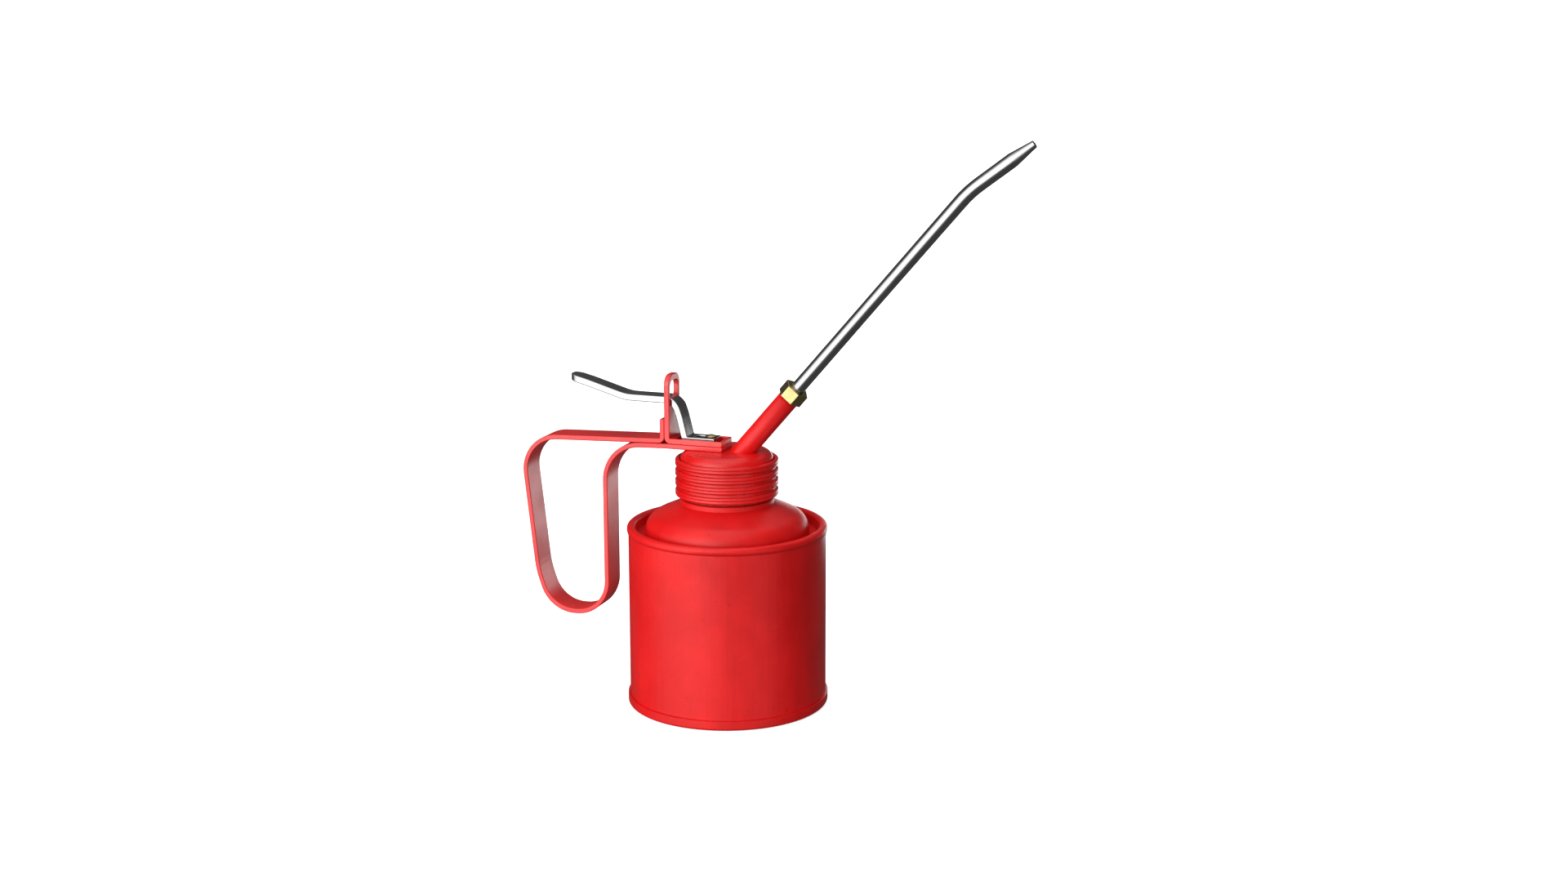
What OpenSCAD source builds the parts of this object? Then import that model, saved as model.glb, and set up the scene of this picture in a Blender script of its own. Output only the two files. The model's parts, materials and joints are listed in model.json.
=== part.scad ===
// Hand-pump oil can: a sheet-steel can with a screw cap that carries the strap
// handle, the thumb lever, the piston pump and the long bent spout.
// Millimetres, +Z up. The origin is the centre of the can's base, the handle is
// towards -X and the spout towards +X.

/* [Can] */
// Outside diameter of the can wall
can_d = 92.7; // [76:0.1:120]
// Height of the can from its base to the top of its rolled rim
can_h = 86; // [60:0.5:120]
// Thickness of the can's sheet steel
sheet_t = 0.6; // [0.4:0.1:0.8]
// How far the seam round the base stands out from the wall
seam_out = 1; // [0.8:0.05:2]
// Height of the seam round the base
seam_h = 4.5; // [3:0.1:7]
// Width and height of the rolled rim
rim_w = 4; // [3:0.1:5]
// Width of the gutter between the rolled rim and the shoulder
gutter_w = 4.6; // [2.6:0.1:5.6]
// Depth of the gutter below the top of the rolled rim
gutter_depth = 6.5; // [5:0.5:9]
// Height of the shoulder where it meets the neck, above the rolled rim
shoulder_rise = 10.4; // [9:0.2:20]
// Slope of the shoulder's top
shoulder_slope = 24; // [12:1:28]
// Roundness of the shoulder's edge, where 1 rounds the whole of its side
shoulder_edge = 0.75; // [0.3:0.05:1]

/* [Neck and cap] */
// Outside diameter of the collar at the foot of the neck
collar_d = 44; // [40:0.2:52]
// Outside diameter of the neck tube under its thread
neck_d = 38.4; // [36:0.2:40]
// Height of the collar's top above the shoulder's upper edge
collar_h = 2.6; // [1:0.1:4]
// Outside diameter of the cap between its rings
cap_d = 45.9; // [45:0.1:50]
// Outside diameter of the cap above its rings
cap_top_d = 43.6; // [43:0.1:45]
// Height of the cap
cap_h = 20.8; // [19:0.1:30]
// Radius of the cap's rounded top edge
cap_edge_r = 4.5; // [3:0.1:5]
// Number of rings round the cap
ring_count = 4; // [2:1:4]
// Spacing of the rings
ring_pitch = 4.7; // [4:0.1:5]
// How far a ring stands out from the cap wall
ring_out = 1.2; // [0.6:0.1:1.5]

/* [Handle strap] */
// Width of the strap
strap_w = 14; // [10:0.5:18]
// Thickness of the strap
strap_t = 2.3; // [1.6:0.1:3]
// Gap between the seam round the base and the loop's front leg
loop_clearance = 10.35; // [6:0.05:30]
// Distance of the loop's rear leg from its front leg, at the top
loop_reach = 43; // [34:0.5:60]
// Height of the loop, from its lowest bend to the strap on the cap
loop_drop = 84.6; // [60:0.5:100]

/* [Lever and bracket] */
// Thickness of the bracket's steel
bracket_t = 2.6; // [2:0.1:3]
// Distance of the bracket's upright from the can's axis
upright_x = 27.2; // [24:0.1:32]
// Height of the upright above the cap
upright_h = 34.7; // [30:0.1:44]
// Height of the lever's fulcrum above the cap
fulcrum_h = 20.2; // [18:0.1:24]
// Width of the lever
lever_w = 9.6; // [7:0.1:10]
// Thickness of the lever
lever_t = 3.1; // [2:0.1:3.4]
// Reach of the lever's thumb end behind the fulcrum
lever_reach = 50.3; // [36:0.1:60]
// Height of the lever's thumb end above the fulcrum
lever_rise = 10.6; // [6:0.1:14]

/* [Pump] */
// Distance of the pump from the can's axis
pump_x = 7.85; // [6:0.05:9]
// Outside diameter of the pump barrel
barrel_d = 16; // [13:0.1:17]
// Wall of the pump barrel
barrel_wall = 0.8; // [0.6:0.1:1.2]
// Length of the pump barrel below the cap
barrel_len = 60; // [50:1:66]
// Diameter of the plunger rod
rod_d = 3.2; // [2.6:0.1:3.6]
// Diameter of the plunger rod's head
head_d = 5.4; // [4.8:0.1:7]
// Height of the suction tube's end above the can's bottom panel
suction_gap = 4; // [3:0.5:10]

/* [Spout] */
// Diameter of the socket that holds the spout
socket_d = 9.9; // [9.6:0.1:11]
// Place where the socket's axis leaves the cap, from the can's axis
socket_x = 8.1; // [7.6:0.1:9]
// Angle of the spout above the horizontal
spout_angle = 49.6; // [44:0.2:60]
// Length of the socket above the cap
socket_len = 34.4; // [24:0.2:50]
// Outside diameter of the spout tube
spout_d = 6.6; // [5.4:0.1:8]
// Wall of the spout tube
spout_wall = 0.8; // [0.5:0.1:1]
// Distance from the cap to the start of the spout's bend
bend_start = 156.5; // [100:0.5:200]
// Angle that the spout bends through
bend_angle = 12.5; // [5:0.5:40]
// Radius of the spout's bend
bend_r = 52; // [20:1:80]
// Straight length after the bend
nose_len = 18.4; // [10:0.2:40]
// Length of the tapered tip
tip_len = 11.8; // [8:0.2:20]
// Outside diameter at the tip
tip_d = 3.5; // [3:0.1:4]
// Width of the spout nut across its flats
nut_af = 11; // [10.6:0.1:13]
// Length of the spout nut
nut_len = 6.2; // [6:0.1:9]

/* [Hidden] */
$fn = 96;
// Gap between pieces that move past each other, and a close running fit.
gap = 0.3;
fit = 0.05;
arc_step = 5;

can_r = can_d / 2;
// How far the rolled rim stands out from the wall, and the gap inside the seam.
rim_out = 0.65;
seam_gap = 0.1;
rim_r = can_r + rim_out;
rim_in = rim_r - rim_w;
rim_corner = rim_w * 0.42;
wall_mid = can_r - sheet_t / 2;
seam_sheet = seam_out - seam_gap;
seam_mid_out = can_r + seam_out - seam_sheet / 2;
seam_mid_in = can_r - sheet_t - seam_gap - seam_sheet / 2;
panel_z = 3.4;

shoulder_r = rim_in - gutter_w;
shoulder_z = can_h + shoulder_rise;
collar_r = collar_d / 2;
neck_r = neck_d / 2;
neck_in = neck_r - 0.8;
collar_z = shoulder_z + collar_h;
gasket_t = 0.6;
gasket_z = collar_z + gap;
cap_z = gasket_z + gasket_t + gap;
cap_r = cap_d / 2;
cap_top_r = cap_top_d / 2;
cap_top = cap_z + cap_h;
cap_sheet = 0.8;
cap_bore = cap_top_r - cap_sheet;
// Each ring is two beads side by side, with a fine groove between them.
ring_bead = 1.05;
ring_bead_apart = 1.4;
ring_start = 1.6;
neck_top = cap_top - 3.8;

strap_z = cap_top + strap_t / 2;
strap_droop = 2;
layer_gap = 0.1;
tab_h = 10.4;
loop_z = strap_z - loop_drop;
loop_front = can_r + seam_out + loop_clearance + strap_t / 2;

foot_z = cap_top + strap_t + bracket_t / 2;
upright_w = strap_w;
slot_w = lever_w + 1.4;
slot_top = cap_top + upright_h - 3;
nose_r = bracket_t / 2;
fulcrum_z = cap_top + fulcrum_h;
lever_foot_z = cap_top + strap_t + gap + lever_t / 2;
lever_z = fulcrum_z + 0.9 + lever_t / 2;

pump = -pump_x;
barrel_r = barrel_d / 2;
barrel_in = barrel_r - barrel_wall;
ceiling = cap_top - cap_sheet;
barrel_z = ceiling - barrel_len;
rod_r = rod_d / 2;
rod_slot_r = rod_r + 0.35;
head_z = lever_foot_z + lever_t / 2 + 0.25;
head_h = 1;
packing_h = 2.8;
packing_washer_t = 1;
spring_top = ceiling - packing_h - packing_washer_t;
plug_len = 11;
stop_pin_z = barrel_z + 9.5;
stop_pin_r = 0.6;
piston_z = barrel_z + plug_len + 4;
piston_h = 9;
cup_z = piston_z + 1.5;
cup_seat_t = 1.2;
piston_nut_z = cup_z + cup_seat_t;
piston_nut_h = 2.2;
spring_z = piston_nut_z + piston_nut_h;
ball_bore = 2.6;
piston_neck_r = ball_bore + 1;
piston_nut_r = barrel_in - 1.4;
piston_ball_r = 2.25;
foot_ball_r = 2.8;
foot_bore = 3.4;
suction_r = 3;
suction_z = panel_z + seam_sheet / 2 + suction_gap;
wire_r = 0.45;
// The spring clears the piston's neck inside it and the cup's lip outside it.
coil_r = 2.8 + barrel_in / 4;

socket_r = socket_d / 2;
socket_bore = 2.6;
spout_r = spout_d / 2;
spout_in = spout_r - spout_wall;
spout_collar_r = spout_r + 0.7;
socket_thread_r = spout_collar_r - 0.1;
socket_end = socket_len + 2.8;
washer_t = 0.6;
washer_s = socket_end + 0.1;
collar_s = washer_s + washer_t + 0.1;
spout_collar_t = 0.9;
nut_s = socket_len + gap;
lip_s = collar_s + spout_collar_t + 0.1;
tip_r = tip_d / 2;

// ---- Bent strips ------------------------------------------------------------

function unit(v) = v / norm(v);
function left(v) = [-v[1], v[0]];
function reversed(v) = [for (i = [len(v) - 1:-1:0]) v[i]];

// The turn at corner b on the way from a to c, to the left when positive.
function turn_at(a, b, c) =
    let (u = unit(b - a), w = unit(c - b))
    atan2(u[0] * w[1] - u[1] * w[0], u * w);

// The points at corner b of a path that runs `off` to the left of a strip's
// middle line, when the middle line turns there with radius r.
function corner_points(a, b, c, r, off) =
    let (
        k = turn_at(a, b, c),
        u = unit(b - a),
        side = k >= 0 ? 1 : -1,
        start = b - u * r * tan(abs(k) / 2),
        centre = start + left(u) * side * r,
        from = atan2(-left(u)[1] * side, -left(u)[0] * side),
        steps = max(1, ceil(abs(k) / arc_step)),
        reach = r - side * off
    )
    [for (i = [0:steps]) centre + reach * [cos(from + k * i / steps), sin(from + k * i / steps)]];

function strip_side(path, radii, off) =
    let (n = len(path), first = left(unit(path[1] - path[0])), last = left(unit(path[n - 1] - path[n - 2])))
    concat(
        [path[0] + first * off],
        [for (i = [1:n - 2]) each corner_points(path[i - 1], path[i], path[i + 1], radii[i], off)],
        [path[n - 1] + last * off]
    );

// Outline of a strip of thickness t that follows a path with rounded corners.
module strip(path, radii, t) {
    polygon(concat(strip_side(path, radii, t / 2), reversed(strip_side(path, radii, -t / 2))));
}

// A strip drawn in X and Z, made w wide along Y.
module strap_of(path, radii, t, w) {
    rotate([90, 0, 0]) linear_extrude(w, center = true) strip(path, radii, t);
}

// ---- Coils ------------------------------------------------------------------

// Solid swept by a closed [radius, height] outline, anticlockwise, through
// stations of [angle, rise].
module sweep_round(outline, stations) {
    k = len(outline);
    n = len(stations);
    points = [
        for (s = stations) for (p = outline)
            [p[0] * cos(s[0]), p[0] * sin(s[0]), p[1] + s[1]]
    ];
    sides = [
        for (i = [0:n - 2]) for (j = [0:k - 1])
            let (a = i * k + j, b = i * k + (j + 1) % k)
            each [[a, a + k, b], [b, a + k, b + k]]
    ];
    start = [for (j = [1:k - 2]) [0, j, j + 1]];
    end = [for (j = [1:k - 2]) [(n - 1) * k, (n - 1) * k + j + 1, (n - 1) * k + j]];
    polyhedron(concat(points), concat(sides, start, end));
}

// ---- Can --------------------------------------------------------------------

module ring(r_in, r_out, z0, z1) {
    translate([0, 0, z0]) difference() {
        cylinder(h = z1 - z0, r = r_out);
        translate([0, 0, -1]) cylinder(h = z1 - z0 + 2, r = r_in);
    }
}

module can_wall() {
    color("red") ring(can_r - sheet_t, can_r, seam_sheet, can_h - rim_w / 2);
}

module can_bottom() {
    u_r = (seam_mid_out - seam_mid_in) / 2 - 0.2;
    color("firebrick") rotate_extrude() strip(
        [[0, panel_z], [seam_mid_in, panel_z], [seam_mid_in, seam_sheet / 2],
            [seam_mid_out, seam_sheet / 2], [seam_mid_out, seam_h]],
        [0, 1, u_r, u_r, 0],
        seam_sheet
    );
}

// Height of the middle of the shoulder's sheet on its sloping top.
function slope_z(r) =
    shoulder_z - (r - collar_r) * tan(shoulder_slope) - sheet_t / 2 / cos(shoulder_slope);

module can_shoulder() {
    inner = shoulder_r - sheet_t / 2;
    outer = rim_in + sheet_t / 2;
    low = can_h - gutter_depth + sheet_t / 2;
    fold_r = 1.2;
    // The largest radius that the shoulder's side leaves room for.
    edge_room = (slope_z(inner) - low - fold_r) / tan(45 - shoulder_slope / 2);
    color("red") {
        rotate_extrude() strip(
            [[neck_r, slope_z(neck_r)], [inner, slope_z(inner)], [inner, low], [outer, low],
                [outer, can_h - rim_w / 2]],
            [0, shoulder_edge * edge_room, fold_r, fold_r, 0],
            sheet_t
        );
        difference() {
            rotate_extrude() translate([rim_r - rim_w, can_h - rim_w]) rim_section();
            ring(can_r - sheet_t, can_r, 0, can_h - rim_w / 2);
        }
    }
}

module rim_section() {
    c = rim_corner;
    translate([c, 0]) square([rim_w - 2 * c, rim_w]);
    translate([0, c]) square([rim_w, rim_w - 2 * c]);
    for (x = [c, rim_w - c]) for (y = [c, rim_w - c]) translate([x, y]) circle(r = c);
}

// ---- Neck and cap -----------------------------------------------------------

module neck() {
    collar_foot = function(r) slope_z(r) + sheet_t / 2 / cos(shoulder_slope);
    color("red") {
        ring(neck_in, neck_r, shoulder_z - 3, neck_top);
        rotate_extrude() polygon([
            [neck_r, collar_foot(neck_r)], [collar_r, collar_foot(collar_r)],
            [collar_r, collar_z - 0.5], [collar_r - 0.5, collar_z], [neck_r, collar_z]
        ]);
    }
}

module cap_gasket() {
    color("saddlebrown") ring(neck_r + gap, cap_bore + 0.4, gasket_z, gasket_z + gasket_t);
}

// Section of the cap: a plain wall with pairs of beads for rings, and a rounded top.
module cap_section() {
    e = cap_edge_r;
    difference() {
        union() {
            translate([0, cap_z]) square([cap_r, cap_h - e - 0.4]);
            translate([0, cap_z + 1]) square([cap_top_r, cap_h - e - 1]);
            translate([0, cap_z + 1]) square([cap_top_r - e, cap_h - 1]);
            translate([cap_top_r - e, cap_top - e]) circle(r = e);
            for (i = [0:ring_count - 1]) for (side = [-0.5, 0.5]) translate([
                cap_r + ring_out - ring_bead,
                cap_z + ring_start + i * ring_pitch + side * ring_bead_apart
            ]) circle(r = ring_bead);
        }
        translate([0, cap_z - 1]) square([cap_bore, cap_h - e + 1]);
        translate([0, cap_z]) square([cap_top_r - e, cap_h - cap_sheet]);
        translate([cap_top_r - e, cap_top - e]) circle(r = e - cap_sheet);
        translate([-cap_d, cap_z]) square([cap_d, cap_h]);
    }
}

module cap_shell() {
    color("red") {
        difference() {
            rotate_extrude() cap_section();
            translate([pump, 0, ceiling - 1]) cylinder(h = 3, r = rod_r + 0.6);
            along_spout(-8) cylinder(h = 20, r = socket_r);
        }
    }
}

// ---- Handle strap -----------------------------------------------------------

// Height of the lower layer's middle line where it droops behind the upright.
function droop_z(x) = strap_z - (-x - upright_x - 2) * tan(strap_droop);

module handle_strap() {
    tab_x = -upright_x - bracket_t / 2 - strap_t / 2;
    rear_top = -loop_front - loop_reach;
    layer = (strap_t + layer_gap) / cos(strap_droop);
    color("red") difference() {
        strap_of(
            [
                [0, strap_z], [-upright_x - 2, strap_z], [-loop_front, droop_z(-loop_front)],
                [-loop_front, loop_z], [-loop_front - loop_reach * 0.68, loop_z],
                [-loop_front - loop_reach * 0.832, loop_z + 19], [rear_top, droop_z(rear_top) + layer],
                [tab_x, droop_z(tab_x) + layer], [tab_x, droop_z(tab_x) + layer + tab_h]
            ],
            [0, 30, 18.2, 16.2, 16.5, 40, 16.9, strap_t / 2 + 0.7, 0],
            strap_t,
            strap_w
        );
        translate([pump, 0, strap_z - strap_t]) cylinder(h = 2 * strap_t, r = rod_r + 0.6);
    }
}

// ---- Lever and its bracket --------------------------------------------------

// Rectangle w wide and h high with rounded corners at its top.
module arch(w, h, r) {
    translate([-w / 2, 0]) square([w, h - r]);
    translate([-w / 2 + r, 0]) square([w - 2 * r, h]);
    for (side = [-1, 1]) translate([side * (w / 2 - r), h - r]) circle(r = r);
}

// Plate of thickness t across the X axis, drawn in Y and Z.
module upright_plate(t) {
    rotate([90, 0, 90]) linear_extrude(t, center = true) children();
}

module lever_bracket() {
    window_end = -1.5;
    window_start = -upright_x + bracket_t / 2 + 2.4;
    plate_z = foot_z - bracket_t / 2;
    color("red") difference() {
        intersection() {
            strap_of(
                [[0, foot_z], [-upright_x, foot_z], [-upright_x, cap_top + upright_h]],
                [0, 1.6, 0],
                bracket_t,
                upright_w
            );
            translate([0, 0, plate_z - 0.5]) upright_plate(4 * upright_x)
                arch(upright_w, cap_top + upright_h - plate_z + 0.5, 5);
        }
        difference() {
            translate([-upright_x, 0, fulcrum_z]) upright_plate(2 * bracket_t)
                arch(slot_w, slot_top - fulcrum_z, 3.6);
            translate([-upright_x, 0, fulcrum_z]) rotate([90, 0, 0])
                cylinder(h = 2 * slot_w, r = nose_r, center = true);
        }
        translate([window_start, -slot_w / 2, plate_z - 1])
            cube([window_end - window_start, slot_w, bracket_t + 2]);
    }
}

module lever() {
    foot_end = pump + head_d / 2 + 0.6;
    leg_x = pump - 11.2;
    thumb = -upright_x - lever_reach;
    color("silver") difference() {
        intersection() {
            strap_of(
                [
                    [thumb, fulcrum_z + lever_rise], [thumb + 9, fulcrum_z + lever_rise - 2.2],
                    [-upright_x - 21.6, lever_z + 0.15], [-upright_x + 2.8, lever_z],
                    [leg_x - 2.65, lever_foot_z + 10.6], [leg_x, lever_foot_z], [foot_end, lever_foot_z]
                ],
                [0, 40, 22, 6.5, 18, 2.1, 0],
                lever_t,
                lever_w
            );
            lever_plan(thumb, foot_end);
        }
        translate([-upright_x, 0, fulcrum_z]) rotate([90, 0, 0])
            cylinder(h = 2 * lever_w, r = nose_r + 0.06, center = true);
        rod_slot();
    }
}

// Plan of the lever, rounded at the thumb end.
module lever_plan(x0, x1) {
    r = lever_w / 2;
    translate([x0 + r, -r, cap_top]) cube([x1 - x0, lever_w, 2 * upright_h]);
    translate([x0 + r, 0, cap_top]) cylinder(h = 2 * upright_h, r = r);
}

// Slot that lets the lever's foot slide past the rod as it rises.
module rod_slot() {
    length = 5.2;
    translate([pump, 0, lever_foot_z - lever_t]) {
        cylinder(h = 2 * lever_t, r = rod_slot_r);
        translate([-length, 0, 0]) cylinder(h = 2 * lever_t, r = rod_slot_r);
        translate([-length, -rod_slot_r, 0]) cube([length, 2 * rod_slot_r, 2 * lever_t]);
    }
}

// ---- Pump -------------------------------------------------------------------

module at_pump(z) {
    translate([pump, 0, z]) children();
}

module plunger_rod() {
    dome_r = (head_d * head_d / 4 + head_h * head_h) / (2 * head_h);
    color("goldenrod") {
        at_pump(piston_z + piston_h - 1) cylinder(h = head_z - piston_z - piston_h + 1.2, r = rod_r);
        intersection() {
            at_pump(head_z + head_h - dome_r) sphere(r = dome_r);
            at_pump(head_z) cylinder(h = head_h, r = head_d / 2 - 0.05);
        }
    }
}

module piston() {
    cavity = piston_z + 1.5;
    color("goldenrod") at_pump(0) difference() {
        union() {
            translate([0, 0, piston_z]) cylinder(h = cup_z - piston_z, r = barrel_in - 0.4);
            translate([0, 0, piston_z]) cylinder(h = piston_h, r = piston_neck_r);
        }
        translate([0, 0, cavity + 1.2]) cylinder(h = piston_h - 4.2, r = ball_bore);
        translate([0, 0, cavity]) cylinder(h = 1.2, r1 = 1.4, r2 = ball_bore);
        translate([0, 0, piston_z - 1]) cylinder(h = 3, r = 1.4);
        translate([0, 0, piston_z + piston_h - 1]) cylinder(h = 2, r = rod_r);
        for (turn = [0, 90]) translate([0, 0, piston_z + piston_h - 2.9]) rotate([90, 0, turn])
            cylinder(h = 4 * piston_neck_r, r = 0.9, center = true);
    }
}

module piston_cup() {
    color("sienna") at_pump(0) {
        ring(piston_neck_r, barrel_in - fit, cup_z, cup_z + cup_seat_t);
        ring(barrel_in - 1, barrel_in - fit, cup_z + cup_seat_t, cup_z + 4.4);
    }
}

module piston_nut() {
    color("goldenrod") at_pump(piston_nut_z) difference() {
        cylinder(h = piston_nut_h, r = piston_nut_r, $fn = 6);
        translate([0, 0, -1]) cylinder(h = piston_nut_h + 2, r = piston_neck_r);
    }
}

module piston_ball() {
    color("silver") at_pump(piston_z + 1.5 + 1.88) sphere(r = piston_ball_r);
}

// Compression spring with closed end turns.
module return_spring() {
    turns = 11;
    steps = 16;
    rise = spring_top - spring_z - 2 * wire_r - 0.04;
    closed = 2 * wire_r + 0.02;
    open_rise = (rise - 2 * closed) / (turns - 2);
    outline = [for (i = [0:7]) [coil_r + wire_r * cos(i * 45), wire_r * sin(i * 45)]];
    height = function(t) t < 1 ? closed * t
        : t < turns - 1 ? closed + open_rise * (t - 1)
        : rise - closed * (turns - t);
    color("silver") at_pump(spring_z + wire_r + 0.02) sweep_round(outline, [
        for (i = [0:turns * steps]) let (t = i / steps) [t * 360, height(t)]
    ]);
}

module gland_packing() {
    color("tan") at_pump(0) ring(rod_r + fit, barrel_in, ceiling - packing_h, ceiling);
}

module packing_washer() {
    color("goldenrod") at_pump(0) ring(rod_r + gap, barrel_in, spring_top, spring_top + packing_washer_t);
}

module pump_barrel() {
    color("goldenrod") difference() {
        at_pump(0) union() {
            ring(barrel_in, barrel_r, barrel_z, ceiling);
            ring(barrel_in, barrel_r + 0.5, ceiling - 1, ceiling);
        }
        along_spout(-20) cylinder(h = 16, r = 1.8);
    }
}

module foot_valve() {
    seat = barrel_z + 2;
    color("goldenrod") at_pump(0) difference() {
        union() {
            translate([0, 0, barrel_z]) cylinder(h = plug_len, r = barrel_in);
            translate([0, 0, barrel_z - 2]) cylinder(h = 2, r = barrel_r);
        }
        translate([0, 0, seat + 1.8]) cylinder(h = plug_len, r = foot_bore);
        translate([0, 0, seat]) cylinder(h = 1.8, r1 = 1.6, r2 = foot_bore);
        translate([0, 0, barrel_z - 3]) cylinder(h = 6, r = 1.6);
        translate([0, 0, barrel_z - 3]) cylinder(h = 3.5, r = suction_r);
        translate([0, 0, stop_pin_z]) rotate([90, 0, 0])
            cylinder(h = 4 * barrel_r, r = stop_pin_r, center = true);
    }
}

module foot_ball() {
    color("silver") at_pump(barrel_z + 2 + 2.45) sphere(r = foot_ball_r);
}

module ball_stop_pin() {
    color("silver") intersection() {
        at_pump(stop_pin_z) rotate([90, 0, 0])
            cylinder(h = 3 * barrel_r, r = stop_pin_r, center = true);
        at_pump(barrel_z) cylinder(h = plug_len + 1, r = barrel_in);
    }
}

module suction_tube() {
    color("goldenrod") at_pump(0) ring(suction_r - 0.6, suction_r, suction_z + 1, barrel_z + 0.5);
}

module strainer() {
    height = 7;
    color("goldenrod") at_pump(suction_z) difference() {
        cylinder(h = height, r = suction_r + 1.4);
        translate([0, 0, 0.8]) cylinder(h = height, r = suction_r + 0.6);
        translate([0, 0, height - 1.2]) cylinder(h = 2, r = suction_r + 0.6);
        for (turn = [0:45:135]) translate([0, 0, 3]) rotate([90, 0, turn])
            cylinder(h = 20, r = 0.8, center = true);
    }
}

// ---- Spout ------------------------------------------------------------------

// Places things on the spout's axis, s along it from the cap's top, with +Z along it.
module along_spout(s) {
    translate([socket_x, 0, cap_top]) rotate([0, 90 - spout_angle, 0]) translate([0, 0, s]) children();
}

module tube(r_in, r_out, h) {
    difference() {
        cylinder(h = h, r = r_out);
        translate([0, 0, -0.01]) cylinder(h = h + 0.02, r = r_in);
    }
}

module delivery_tube() {
    color("goldenrod") difference() {
        along_spout(-20) tube(1.8, socket_bore, 26);
        at_pump(0) cylinder(h = 2 * cap_top, r = barrel_r);
        at_pump(ceiling - 1) cylinder(h = 1, r = barrel_r + 0.5);
    }
}

module spout_socket() {
    color("red") difference() {
        union() {
            along_spout(-20) cylinder(h = 20 + socket_len, r = socket_r);
            along_spout(socket_len - 1) cylinder(h = 1 + socket_end - socket_len, r = socket_thread_r);
        }
        along_spout(-21) cylinder(h = 22 + socket_end, r = socket_bore);
        translate([0, 0, ceiling - 50]) cube([200, 200, 100], center = true);
    }
}

module spout_washer() {
    color("sienna") along_spout(washer_s) tube(spout_in, spout_collar_r, washer_t);
}

module spout_collar() {
    color("goldenrod") along_spout(collar_s) tube(spout_r, spout_collar_r, spout_collar_t);
}

module spout_tube() {
    straight = bend_start - collar_s;
    color("silver") along_spout(collar_s) {
        tube(spout_in, spout_r, straight);
        translate([bend_r, 0, straight]) rotate([90, 0, 180]) rotate_extrude(angle = bend_angle)
            translate([bend_r, 0]) difference() {
                circle(r = spout_r);
                circle(r = spout_in);
            }
        translate([bend_r, 0, straight]) rotate([0, bend_angle, 0]) translate([-bend_r, 0, 0]) {
            tube(spout_in, spout_r, nose_len);
            translate([0, 0, nose_len]) difference() {
                cylinder(h = tip_len, r1 = spout_r, r2 = tip_r);
                translate([0, 0, -0.01]) cylinder(h = tip_len + 0.02, r1 = spout_in, r2 = tip_r - 0.8);
            }
        }
    }
}

module spout_nut() {
    color("goldenrod") along_spout(nut_s) difference() {
        cylinder(h = nut_len, r = nut_af / 2 / cos(30), $fn = 6);
        translate([0, 0, -1]) cylinder(h = lip_s - nut_s + 1, r = spout_collar_r + 0.2);
        cylinder(h = nut_len + 1, r = spout_r + 0.1);
    }
}

can_wall();
can_bottom();
can_shoulder();
neck();
cap_gasket();
cap_shell();
handle_strap();
lever_bracket();
lever();
plunger_rod();
piston();
piston_cup();
piston_nut();
piston_ball();
return_spring();
gland_packing();
packing_washer();
pump_barrel();
foot_valve();
foot_ball();
ball_stop_pin();
suction_tube();
strainer();
delivery_tube();
spout_socket();
spout_washer();
spout_collar();
spout_tube();
spout_nut();
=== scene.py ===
"""Pump oil can: looks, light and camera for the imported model. Metres, +Z up."""

import json
import math

import bmesh
import bpy
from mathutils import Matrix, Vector

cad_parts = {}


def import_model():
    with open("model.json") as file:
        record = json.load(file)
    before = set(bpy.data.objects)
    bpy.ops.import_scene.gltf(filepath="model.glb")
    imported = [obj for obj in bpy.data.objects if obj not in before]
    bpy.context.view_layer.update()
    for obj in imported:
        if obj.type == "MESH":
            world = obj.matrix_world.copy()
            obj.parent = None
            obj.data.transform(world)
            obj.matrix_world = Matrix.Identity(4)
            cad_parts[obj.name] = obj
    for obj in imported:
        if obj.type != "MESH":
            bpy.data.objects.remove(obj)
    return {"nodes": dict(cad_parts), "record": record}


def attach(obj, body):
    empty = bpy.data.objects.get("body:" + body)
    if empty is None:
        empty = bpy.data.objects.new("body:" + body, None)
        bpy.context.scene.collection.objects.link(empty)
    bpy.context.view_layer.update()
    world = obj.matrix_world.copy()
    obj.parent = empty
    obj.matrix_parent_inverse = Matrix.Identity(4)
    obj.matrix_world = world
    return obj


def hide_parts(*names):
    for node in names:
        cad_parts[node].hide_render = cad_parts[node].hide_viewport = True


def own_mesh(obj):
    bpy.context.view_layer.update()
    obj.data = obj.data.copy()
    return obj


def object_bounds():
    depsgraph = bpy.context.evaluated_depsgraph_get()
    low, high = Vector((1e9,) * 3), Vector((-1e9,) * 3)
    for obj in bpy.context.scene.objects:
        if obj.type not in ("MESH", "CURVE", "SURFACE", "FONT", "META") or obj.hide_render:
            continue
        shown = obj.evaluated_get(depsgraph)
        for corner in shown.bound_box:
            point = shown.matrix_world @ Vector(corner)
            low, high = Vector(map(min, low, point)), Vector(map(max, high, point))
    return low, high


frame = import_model()
CAD_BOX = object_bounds()
SCENE = bpy.context.scene
BODY_OF = {n: b for b, ns in frame["record"]["behaviour"]["bodies"].items() for n in ns}
SLOT_OF = {s["node"]: s["material_slot"] for s in frame["record"]["subparts"]}


# ---- Node helpers -----------------------------------------------------------


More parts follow.
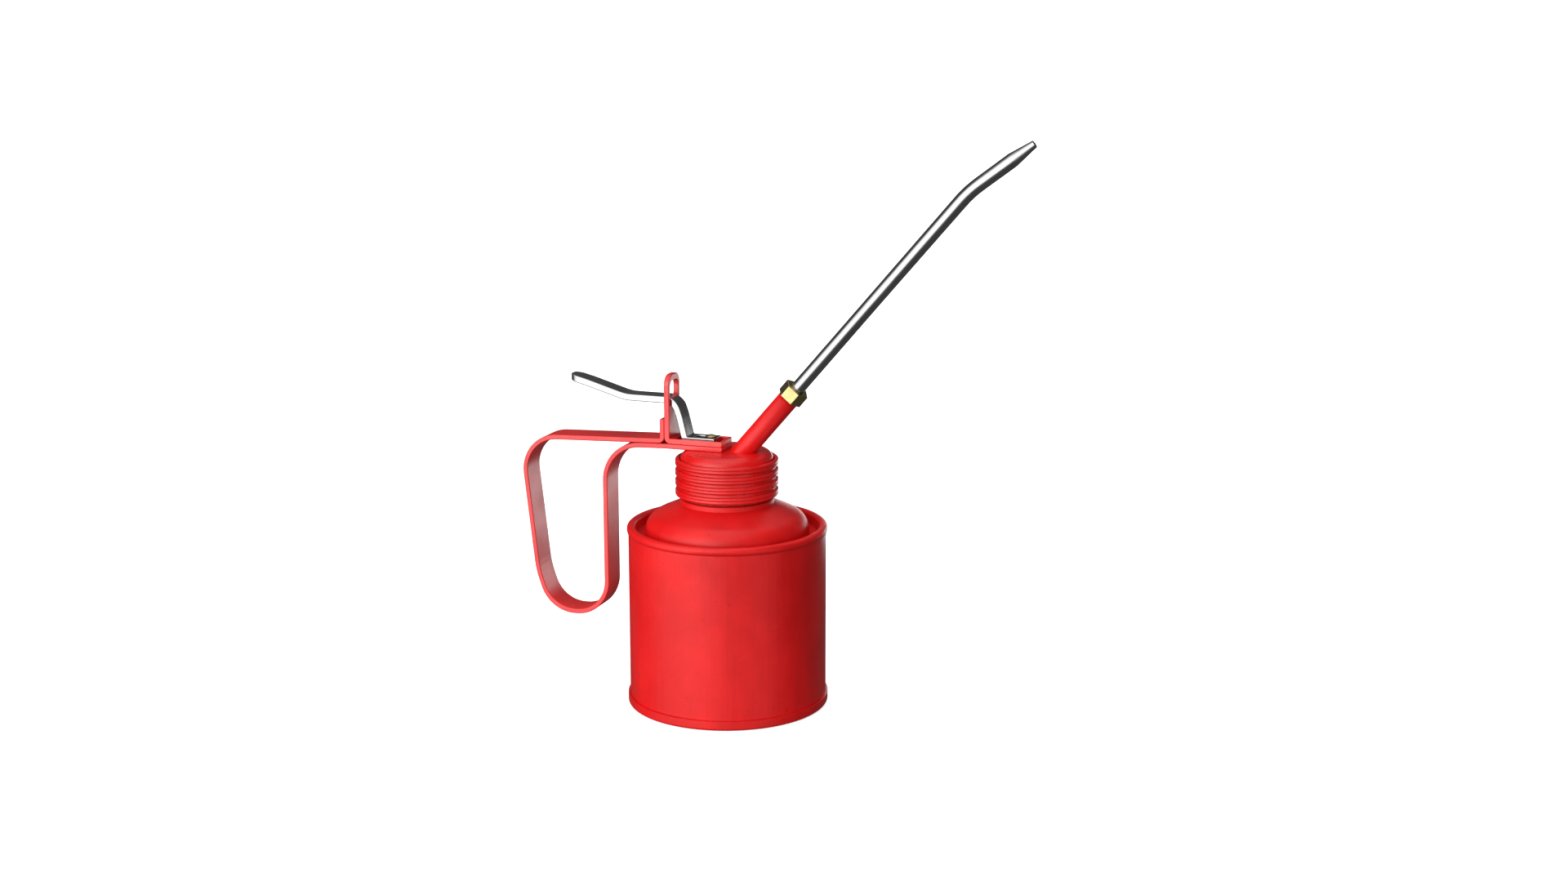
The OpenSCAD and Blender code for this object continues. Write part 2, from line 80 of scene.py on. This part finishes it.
class Graph:
    """A node tree with short calls for the nodes that are made in it."""

    def __init__(self, tree):
        self.tree = tree

    def node(self, kind, **settings):
        made = self.tree.nodes.new(kind)
        for key, value in settings.items():
            setattr(made, key, value)
        return made

    def link(self, source, target):
        self.tree.links.new(source, target)

    def remap(self, value, low, high, out_low=0.0, out_high=1.0):
        made = self.node("ShaderNodeMapRange", interpolation_type="SMOOTHSTEP")
        self.link(value, made.inputs["Value"])
        for key, number in (("From Min", low), ("From Max", high), ("To Min", out_low), ("To Max", out_high)):
            made.inputs[key].default_value = number
        return made.outputs["Result"]

    def math(self, operation, first, second):
        made = self.node("ShaderNodeMath", operation=operation)
        for i, value in enumerate((first, second)):
            if hasattr(value, "links"):
                self.link(value, made.inputs[i])
            else:
                made.inputs[i].default_value = value
        return made.outputs["Value"]


class Material(Graph):
    """A Principled material with short calls for the nodes that feed it. Noise scales are per metre."""

    def __init__(self, name, **sockets):
        self.data = bpy.data.materials.new(name)
        self.data.use_nodes = True
        super().__init__(self.data.node_tree)
        self.shader = self.tree.nodes["Principled BSDF"]
        for socket, value in sockets.items():
            self.shader.inputs[socket.replace("_", " ")].default_value = value
        self.place = self.node("ShaderNodeTexCoord").outputs["Object"]

    def stretched(self, scale):
        mapping = self.node("ShaderNodeMapping")
        mapping.inputs["Scale"].default_value = scale
        self.link(self.place, mapping.inputs["Vector"])
        return mapping.outputs["Vector"]

    def noise(self, scale, detail=4.0, roughness=0.55, at=None):
        made = self.node("ShaderNodeTexNoise")
        made.inputs["Scale"].default_value = scale
        made.inputs["Detail"].default_value = detail
        made.inputs["Roughness"].default_value = roughness
        self.link(at or self.place, made.inputs["Vector"])
        return made.outputs["Fac"]

    def mix(self, factor, first, second):
        made = self.node("ShaderNodeMix", data_type="RGBA")
        self.link(factor, made.inputs["Factor"])
        for key, value in (("A", first), ("B", second)):
            socket = next(s for s in made.inputs if s.name == key and s.type == "RGBA")
            if hasattr(value, "links"):
                self.link(value, socket)
            else:
                socket.default_value = (*value, 1.0)
        return next(s for s in made.outputs if s.type == "RGBA")

    def bump(self, height, distance, strength=1.0):
        made = self.node("ShaderNodeBump")
        made.inputs["Distance"].default_value = distance
        made.inputs["Strength"].default_value = strength
        self.link(height, made.inputs["Height"])
        self.link(made.outputs["Normal"], self.shader.inputs["Normal"])

    def feed(self, socket, value):
        self.link(value, self.shader.inputs[socket])


# ---- Materials --------------------------------------------------------------

RED = (0.62, 0.0055, 0.006)
LIGHT_RED = (0.75, 0.0095, 0.010)
DEEP_RED = (0.38, 0.003, 0.0035)
WORN_RED = (0.80, 0.11, 0.10)
BRASS = (0.42, 0.34, 0.15)
DULL_BRASS = (0.23, 0.16, 0.055)


def red_paint(name, wear=0.08, sheen=0.28, gloss=0.30):
    """Satin red enamel: uneven depth, faint upright runs, specks, small scuffs and an orange peel."""
    m = Material(name, Specular_IOR_Level=sheen)
    blotch = m.remap(m.noise(24, 6, 0.6), 0.36, 0.66)
    runs = m.remap(m.noise(34, 6, 0.62, m.stretched((1.7, 1.7, 0.2))), 0.46, 0.72)
    colour = m.mix(blotch, RED, LIGHT_RED)
    colour = m.mix(m.math("MULTIPLY", runs, 0.25), colour, DEEP_RED)
    specks = m.remap(m.noise(520, 2, 0.4), 0.70, 0.76)
    colour = m.mix(m.math("MULTIPLY", specks, 0.5), colour, DEEP_RED)
    scuffs = m.remap(m.noise(160, 8, 0.75, m.stretched((1, 1, 0.6))), 0.62, 0.72)
    colour = m.mix(m.math("MULTIPLY", scuffs, wear), colour, WORN_RED)
    m.feed("Base Color", colour)
    m.feed("Roughness", m.remap(m.noise(55, 5, 0.6), 0.3, 0.75, gloss, gloss + 0.12))
    m.bump(m.noise(900, 2), 0.00003, 0.3)
    return m.data


def plated_steel(name, roughness, across, tone=0.38):
    """Plated steel with fine draw lines and faint stains, kept dark under lights brighter than white."""
    m = Material(name, Metallic=1.0)
    lines = m.noise(60, 3, 0.6, m.stretched(across))
    stain = m.remap(m.noise(70, 5, 0.65), 0.5, 0.78)
    m.feed("Base Color", m.mix(stain, (tone, tone, tone), (tone * 0.82, tone * 0.81, tone * 0.79)))
    m.feed("Roughness", m.remap(lines, 0.3, 0.7, roughness, roughness + 0.07))
    m.bump(lines, 0.00002, 0.2)
    return m.data


def brass(name, roughness=0.24, tarnish=0.5):
    """Turned brass, bright where it is handled and brown where it has dulled."""
    m = Material(name, Metallic=1.0)
    dull = m.remap(m.noise(240, 5, 0.65), 0.45, 0.72)
    colour = m.mix(m.math("MULTIPLY", dull, tarnish), BRASS, DULL_BRASS)
    m.feed("Base Color", colour)
    m.feed("Roughness", m.remap(m.noise(700, 3), 0.3, 0.7, roughness, roughness + 0.12))
    m.bump(m.noise(1600, 2), 0.00001, 0.3)
    return m.data


def soft_material(name, light, dark, scale, roughness):
    """Leather, cork and felt: two tones, a rough face and a grain."""
    m = Material(name)
    grain = m.noise(scale, 6, 0.7)
    m.feed("Base Color", m.mix(m.remap(grain, 0.35, 0.65), light, dark))
    m.feed("Roughness", m.remap(grain, 0.3, 0.7, roughness, roughness + 0.2))
    m.bump(grain, 0.00015, 0.6)
    return m.data


MATERIALS = {
    "red_paint": red_paint("can_paint"),
    "red_paint_base": red_paint("base_paint", 0.16),
    "red_paint_top": red_paint("shoulder_paint"),
    "red_paint_neck": red_paint("neck_paint"),
    "red_paint_cap": red_paint("cap_paint", 0.05, 0.4, 0.2),
    "red_paint_strap": red_paint("strap_paint", 0.2, 0.75),
    "red_paint_bracket": red_paint("bracket_paint", 0.2, 0.75),
    "red_paint_socket": red_paint("socket_paint"),
    "plated_steel": plated_steel("lever_plate", 0.16, (1, 5, 1)),
    "chrome": plated_steel("spout_plate", 0.13, (1, 1, 1), 0.4),
    "brass_bright": brass("rod_brass", 0.2, 0.3),
    "brass": brass("pump_brass"),
    "brass_nut": brass("nut_brass", 0.2, 0.35),
    "steel_ball": plated_steel("ball_steel", 0.08, (1, 1, 1)),
    "spring_steel": plated_steel("spring_wire", 0.25, (1, 1, 1), 0.3),
    "leather": soft_material("leather", (0.24, 0.12, 0.05), (0.10, 0.05, 0.02), 900, 0.55),
    "felt": soft_material("felt", (0.48, 0.40, 0.28), (0.28, 0.22, 0.14), 1500, 0.8),
    "cork": soft_material("cork", (0.16, 0.11, 0.07), (0.05, 0.035, 0.03), 1200, 0.7),
}


def finish_nodes():
    """Each CAD node takes the material of its slot."""
    for name, node in frame["nodes"].items():
        material = MATERIALS[SLOT_OF[name]]
        node.data.materials.clear()
        node.data.materials.append(material)


# ---- Pieces that stand for CAD nodes ----------------------------------------


# Edges that bend by more than this stay sharp or are rounded.
CREASE = math.radians(28)
# Points closer than this are one point, and faces that bend by less than this are one face.
SAME_POINT = 2e-6
FLAT = math.radians(0.6)
# Width of the rounding on the edges of each pressed or cut piece.
ROUNDED = {"handle_strap": 0.0004, "lever_bracket": 0.00035, "lever": 0.0004, "spout_nut": 0.0003}
SMOOTHED = [
    "can_wall", "can_bottom", "can_shoulder", "neck",
    "cap_shell", "plunger_rod", "spout_socket", "spout_tube",
]


def copy_of(name, body=None):
    """A copy of a CAD node that stands for it, smooth except across its creases."""
    mesh = frame["nodes"][name].data.copy()
    shape = bmesh.new()
    shape.from_mesh(mesh)
    bmesh.ops.remove_doubles(shape, verts=shape.verts, dist=SAME_POINT)
    for face in shape.faces:
        face.smooth = True
    shape.to_mesh(mesh)
    shape.free()
    mesh.set_sharp_from_angle(angle=CREASE)
    piece = bpy.data.objects.new(name + "_finished", mesh)
    SCENE.collection.objects.link(piece)
    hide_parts(name)
    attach(piece, body or BODY_OF[name])
    return piece


def rounded(name, width):
    """A copy of a CAD node with its sharp edges rounded."""
    piece = copy_of(name)
    shape = bmesh.new()
    shape.from_mesh(piece.data)
    bmesh.ops.dissolve_limit(shape, angle_limit=FLAT, verts=shape.verts, edges=shape.edges)
    shape.to_mesh(piece.data)
    shape.free()
    bevel = piece.modifiers.new("round", "BEVEL")
    bevel.width = width
    bevel.segments = 3
    bevel.limit_method = "ANGLE"
    bevel.angle_limit = CREASE
    bevel.use_clamp_overlap = False
    shading = piece.modifiers.new("shade", "WEIGHTED_NORMAL")
    shading.keep_sharp = True
    return piece


def spring():
    """The spring hangs from the cap, as a copy with a mesh of its own."""
    piece = copy_of("return_spring", "cap")
    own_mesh(piece)


finish_nodes()
for smooth_name in SMOOTHED:
    copy_of(smooth_name)
for edged_name, edge_width in ROUNDED.items():
    rounded(edged_name, edge_width)
spring()


# ---- Floor, light and camera ------------------------------------------------

FLOOR_GLOW = 0.72
FLOOR_TONE = (0.90, 0.90, 0.90)
FLOOR_STAIN = (0.885, 0.885, 0.885)
FLOOR_HALF = 30.0
# How far the floor lies below the part's foot, so that the two never share a plane.
FLOOR_DROP = 0.0002
WALL_LEVEL = 0.12
# The tall soft light in front: the way to it, its level, and the cosines where its sides start and end.
SOFTBOX_WAY = (-0.42, -0.91, 0.0)
SOFTBOX_LEVEL = 2.9
SOFTBOX_SIDES = (0.46, 0.96)
# The heights between which it fades at its foot and at its top, and the share of its level beyond them.
SOFTBOX_FOOT = (-0.52, -0.18)
FOOT_SHARE = 0.05
SOFTBOX_TOP = (0.25, 0.95)
TOP_SHARE = 0.4
# Smaller soft lights: the way to each, the cosines where its edge starts and ends, and its level.
SMALL_LIGHTS = [
    ((-0.33, -0.92, 0.10), 0.86, 0.99, 1.6),
    ((0.77, -0.61, -0.12), 0.82, 0.98, 0.9),
    ((-0.10, -0.50, 0.86), 0.60, 0.95, 1.6),
    ((0.0, 0.30, 0.95), 0.72, 0.97, 0.8),
]
# The panel behind the part: its middle, its width and height, and its power.
PANEL_PLACE = (0.035, 0.30, 0.058)
PANEL_SIZE = (0.20, 0.11)
PANEL_POWER = 0.17
# The camera: its way round from the front, its distance and height, and how far it turns and tips.
CAMERA_ROUND = math.radians(20.03)
CAMERA_DISTANCE = 0.9887
CAMERA_HEIGHT = 0.3436
CAMERA_PAN = math.radians(-1.541)
CAMERA_TILT = math.radians(12.46)


def floor():
    """A wide white floor, lit a little from within so that it stays white in the camera."""
    mesh = bpy.data.meshes.new("floor")
    corners = [(x * FLOOR_HALF, y * FLOOR_HALF, 0) for x, y in ((-1, -1), (1, -1), (1, 1), (-1, 1))]
    mesh.from_pydata(corners, [], [(0, 1, 2, 3)])
    m = Material("floor_white", Roughness=0.8, Specular_IOR_Level=0.0, Emission_Strength=FLOOR_GLOW)
    tone = m.mix(m.noise(3, 2), FLOOR_TONE, FLOOR_STAIN)
    m.feed("Base Color", tone)
    m.feed("Emission Color", tone)
    mesh.materials.append(m.data)
    piece = bpy.data.objects.new("floor", mesh)
    piece.location.z = CAD_BOX[0][2] - FLOOR_DROP
    piece.visible_glossy = False
    piece.visible_diffuse = False
    SCENE.collection.objects.link(piece)


def back_panel():
    """A small light behind the part, which shows in the handle's faces on the spout's side."""
    light = bpy.data.lights.new("back_panel", "AREA")
    light.shape = "RECTANGLE"
    light.size, light.size_y = PANEL_SIZE
    light.energy = PANEL_POWER
    panel = bpy.data.objects.new("back_panel", light)
    panel.location = PANEL_PLACE
    panel.rotation_euler = (math.radians(-90), 0, 0)
    panel.visible_camera = False
    SCENE.collection.objects.link(panel)


def world():
    """A studio with a tall soft light in front, a little to the left, smaller ones and dark walls."""
    made = bpy.data.worlds.new("studio")
    made.use_nodes = True
    made.node_tree.nodes.clear()
    g = Graph(made.node_tree)
    place = g.node("ShaderNodeTexCoord").outputs["Generated"]
    split = g.node("ShaderNodeSeparateXYZ")
    g.link(place, split.inputs["Vector"])
    height = split.outputs["Z"]

    def towards(way):
        facing = g.node("ShaderNodeVectorMath", operation="DOT_PRODUCT")
        facing.inputs[1].default_value = Vector(way).normalized()
        g.link(place, facing.inputs[0])
        return facing.outputs["Value"]

    sideways = g.remap(towards(SOFTBOX_WAY), *SOFTBOX_SIDES, 0.0, SOFTBOX_LEVEL)
    below = g.remap(height, *SOFTBOX_FOOT, FOOT_SHARE, 1.0)
    above = g.remap(height, *SOFTBOX_TOP, 1.0, TOP_SHARE)
    softbox = g.math("MULTIPLY", sideways, g.math("MULTIPLY", below, above))
    level = g.math("ADD", softbox, WALL_LEVEL)
    for way, start, end, strength in SMALL_LIGHTS:
        level = g.math("ADD", level, g.remap(towards(way), start, end, 0.0, strength))
    lit = g.node("ShaderNodeBackground")
    g.link(level, lit.inputs["Strength"])
    seen = g.node("ShaderNodeBackground")
    seen.inputs["Color"].default_value = (1, 1, 1, 1)
    choice = g.node("ShaderNodeMixShader")
    g.link(g.node("ShaderNodeLightPath").outputs["Is Camera Ray"], choice.inputs["Fac"])
    g.link(lit.outputs["Background"], choice.inputs[1])
    g.link(seen.outputs["Background"], choice.inputs[2])
    g.link(choice.outputs["Shader"], g.node("ShaderNodeOutputWorld").inputs["Surface"])
    SCENE.world = made


def camera():
    """A 50 mm lens about a metre away, a little to the spout's side and slightly above."""
    data = bpy.data.cameras.new("camera")
    data.lens = 50
    data.sensor_width = 36
    data.clip_start = 0.01
    made = bpy.data.objects.new("camera", data)
    side = math.sin(CAMERA_ROUND) * CAMERA_DISTANCE
    front = -math.cos(CAMERA_ROUND) * CAMERA_DISTANCE
    made.location = (side, front, CAMERA_HEIGHT)
    made.rotation_euler = (math.pi / 2 - CAMERA_TILT, 0, CAMERA_ROUND + CAMERA_PAN)
    SCENE.collection.objects.link(made)
    SCENE.camera = made


floor()
back_panel()
world()
camera()
SCENE.view_settings.view_transform = "Standard"
